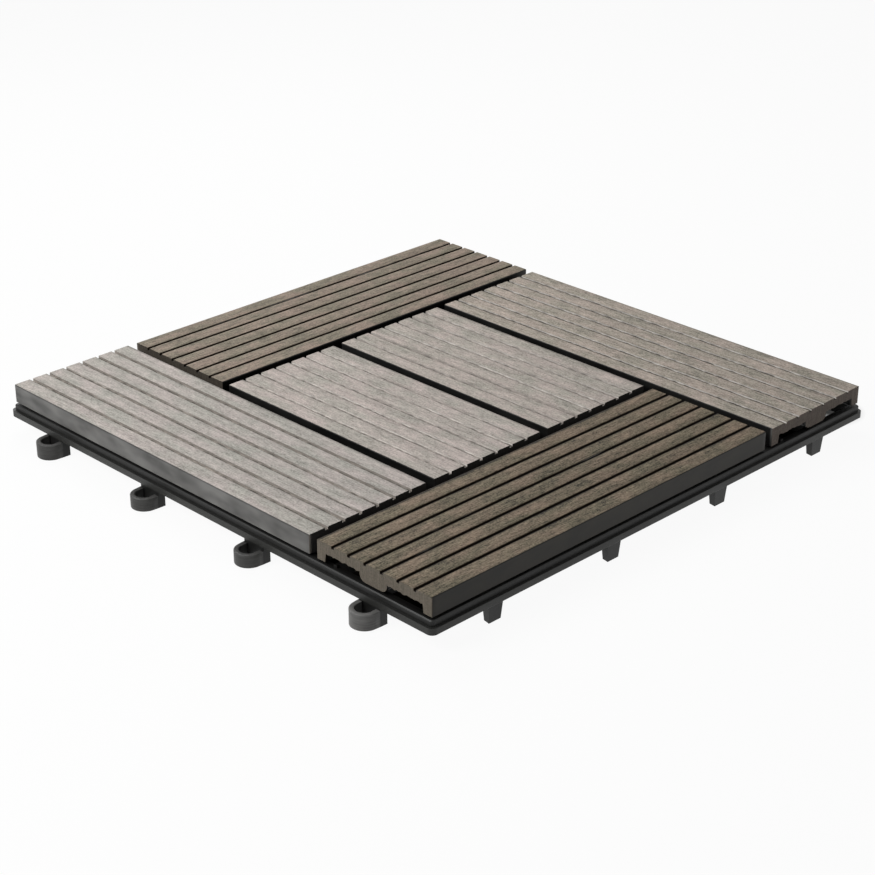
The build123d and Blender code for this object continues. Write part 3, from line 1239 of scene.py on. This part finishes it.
@dataclass
class Studio:
    """Pale floor, soft lamps and the photograph's camera."""

    camera_place: tuple[float, float, float] = (-0.6508, -0.6625, 0.4431)
    camera_target: tuple[float, float, float] = (-0.04142, -0.04292, 0.025)
    camera_roll: float = math.radians(-0.11)
    lens: float = 84.8                   # mm
    sensor: float = 36.0                 # mm
    nearest: float = 0.01                # m, where the camera begins to see
    lamps: tuple[tuple[str, tuple[float, float, float], float, float], ...] = (
        ("key_lamp", (-0.6, 0.12, 0.52), 0.35, 3.8),
        ("back_lamp", (0.16, 0.52, 0.6), 0.45, 3.4),
        ("fill_lamp", (0.2, -0.9, 0.5), 0.6, 0.5),
    )                                    # place and width in m, power in W
    sky: str = "#e6eaf0"
    sky_strength: float = 0.2
    floor_size: float = 12.0             # m
    paper: str = "#e4e4e2"
    shade: str = "#1a1713"               # painted shade on the floor under the tile
    white: str = "#ffffff"
    shadow: float = 0.06                 # how much of the floor's shadow the camera sees
    hollow_near: float = 0.134           # m, from the middle to the end of the painted shade on the floor
    hollow_far: float = 0.149            # m, the same towards the two sides turned away from the camera
    hollow_corner: float = 0.295         # m, the same towards the left and right corners, x and y added
    blur: float = 2 * MM                 # half the width over which that shade ends
    nook: tuple[float, float] = (0.158, -0.124)    # m, spot of painted shade, seen under the right slat
    nook_radius: float = 0.011           # m
    nook_slope: float = 0.25             # softens its edge
    nook_light: float = 0.12             # how much of the paper's tint it keeps

    def build(self) -> None:
        """Set up the world, the floor, the lamps and the camera."""
        self._world()
        self._floor()
        for name, place, size, power in self.lamps:
            self._lamp(name, place, size, power)
        self._camera()
        bpy.context.scene.view_settings.view_transform = "Standard"
        LOG.info("studio: floor, three lamps and a %.1f mm lens", self.lens)

    def _world(self) -> None:
        """Light the tile softly from all round, and show white to the camera."""
        world = bpy.data.worlds.new("pale_studio")
        bpy.context.scene.world = world
        world.use_nodes = True
        tree = world.node_tree
        tree.nodes.clear()
        soft = add_node(
            tree, "Background", {"Color": linear(self.sky), "Strength": self.sky_strength}
        )
        white = add_node(tree, "Background", {"Color": linear(self.white), "Strength": 1.0})
        mixed = add_node(
            tree, "MixShader", {0: self._seen(tree), 1: soft.outputs[0], 2: white.outputs[0]}
        )
        add_node(tree, "OutputWorld", {"Surface": mixed.outputs[0]})

    def _seen(self, tree: Tree) -> Socket:
        """Mark the rays that show the background: straight, mirrored or through something clear."""
        path = add_node(tree, "LightPath")
        seen = path.outputs["Is Camera Ray"]
        for name in ("Is Glossy Ray", "Is Transmission Ray"):
            either = add_node(tree, "Math", {0: seen, 1: path.outputs[name]}, operation="MAXIMUM")
            seen = either.outputs[0]
        return seen

    def _floor(self) -> None:
        """Lay a pale floor that shows white round the tile and keeps the shadow under it, over painted
        shade there and in a spot beside it.
        """
        bpy.ops.mesh.primitive_plane_add(size=self.floor_size, location=(0.0, 0.0, 0.0))
        floor = bpy.context.object
        floor.name = "studio_floor"
        material, tree = start_material("matte_white_paper")
        coordinates = add_node(tree, "TexCoord")
        axes = add_node(tree, "SeparateXYZ", {0: coordinates.outputs["Object"]})
        limits = (
            (-1.0, 0.0, self.hollow_near),
            (0.0, -1.0, self.hollow_near),
            (1.0, 0.0, self.hollow_far),
            (0.0, 1.0, self.hollow_far),
            (1.0, -1.0, self.hollow_corner),
            (-1.0, 1.0, self.hollow_corner),
        )
        beyond = None
        for weight_x, weight_y, limit in limits:
            part = add_node(
                tree, "Math", {0: axes.outputs[0], 1: weight_x, 2: -limit}, operation="MULTIPLY_ADD"
            )
            past = add_node(
                tree,
                "Math",
                {0: axes.outputs[1], 1: weight_y, 2: part.outputs[0]},
                operation="MULTIPLY_ADD",
            )
            if beyond is None:
                beyond = past.outputs[0]
            else:
                furthest = add_node(tree, "Math", {0: beyond, 1: past.outputs[0]}, operation="MAXIMUM")
                beyond = furthest.outputs[0]
        outside = add_node(tree, "MapRange", {0: beyond, 1: -self.blur, 2: self.blur})
        away = add_node(
            tree,
            "VectorMath",
            {0: coordinates.outputs["Object"], 1: (*self.nook, 0.0)},
            operation="DISTANCE",
        )
        nook = add_node(
            tree,
            "Math",
            {0: away.outputs["Value"], 1: self.nook_slope, 2: -self.nook_radius * self.nook_slope},
            operation="MULTIPLY_ADD",
        )
        clear = add_node(tree, "Math", {0: beyond, 1: nook.outputs[0]}, operation="MINIMUM")
        open_floor = add_node(
            tree,
            "MapRange",
            {0: clear.outputs[0], 1: -self.blur, 2: self.blur, 4: 1.0 - self.shadow},
        )
        shown = add_node(
            tree, "Math", {0: self._seen(tree), 1: open_floor.outputs[0]}, operation="MULTIPLY"
        )
        beside = add_node(
            tree,
            "MapRange",
            {0: nook.outputs[0], 1: -self.blur, 2: self.blur, 3: self.nook_light},
        )
        lit = add_node(
            tree, "Math", {0: outside.outputs[0], 1: beside.outputs[0]}, operation="MINIMUM"
        )
        tint = add_node(
            tree,
            "Mix",
            {0: lit.outputs[0], 6: linear(self.shade), 7: linear(self.paper)},
            data_type="RGBA",
        )
        paper = add_node(tree, "BsdfDiffuse", {"Color": tint.outputs[2]})
        glow = add_node(tree, "Emission", {"Color": linear(self.white), "Strength": 1.0})
        mixed = add_node(
            tree, "MixShader", {0: shown.outputs[0], 1: paper.outputs[0], 2: glow.outputs[0]}
        )
        add_node(tree, "OutputMaterial", {"Surface": mixed.outputs[0]})
        floor.data.materials.append(material)

    def _lamp(self, name: str, place: tuple[float, float, float], size: float, power: float) -> None:
        """Hang a soft square lamp that faces the tile.

        Args:
            name: Name of the lamp.
            place: Where it hangs, in metres.
            size: Width of its face, in metres.
            power: Power in watts.
        """
        light = bpy.data.lights.new(name, "AREA")
        light.shape = "SQUARE"
        light.size = size
        light.energy = power
        lamp = bpy.data.objects.new(name, light)
        bpy.context.collection.objects.link(lamp)
        lamp.location = place
        lamp.rotation_euler = (-Vector(place)).to_track_quat("-Z", "Y").to_euler()

    def _camera(self) -> None:
        """Place the camera as the photograph's was."""
        data = bpy.data.cameras.new("camera")
        data.lens = self.lens
        data.sensor_width = self.sensor
        data.clip_start = self.nearest
        camera = bpy.data.objects.new("camera", data)
        bpy.context.collection.objects.link(camera)
        view = Vector(self.camera_target) - Vector(self.camera_place)
        turn = view.to_track_quat("-Z", "Y").to_matrix() @ Matrix.Rotation(self.camera_roll, 3, "Z")
        camera.location = self.camera_place
        camera.rotation_euler = turn.to_euler()
        bpy.context.scene.camera = camera


def main() -> None:
    """Build each sub-assembly in turn and report it."""
    logging.basicConfig(level=logging.INFO, format="%(name)s: %(message)s")
    bpy.ops.object.select_all(action="DESELECT")
    slats = Slats()
    slats.build()
    BaseGrid().build()
    places = []
    for slat in slats.slats:
        for side in (-1, 1):
            place = slat.centre.copy()
            place[slat.along] += side * slat.screw_offset
            places.append((place.x, place.y))
    SlatScrews(places).build()
    Studio().build()


if __name__ == "__main__":
    main()
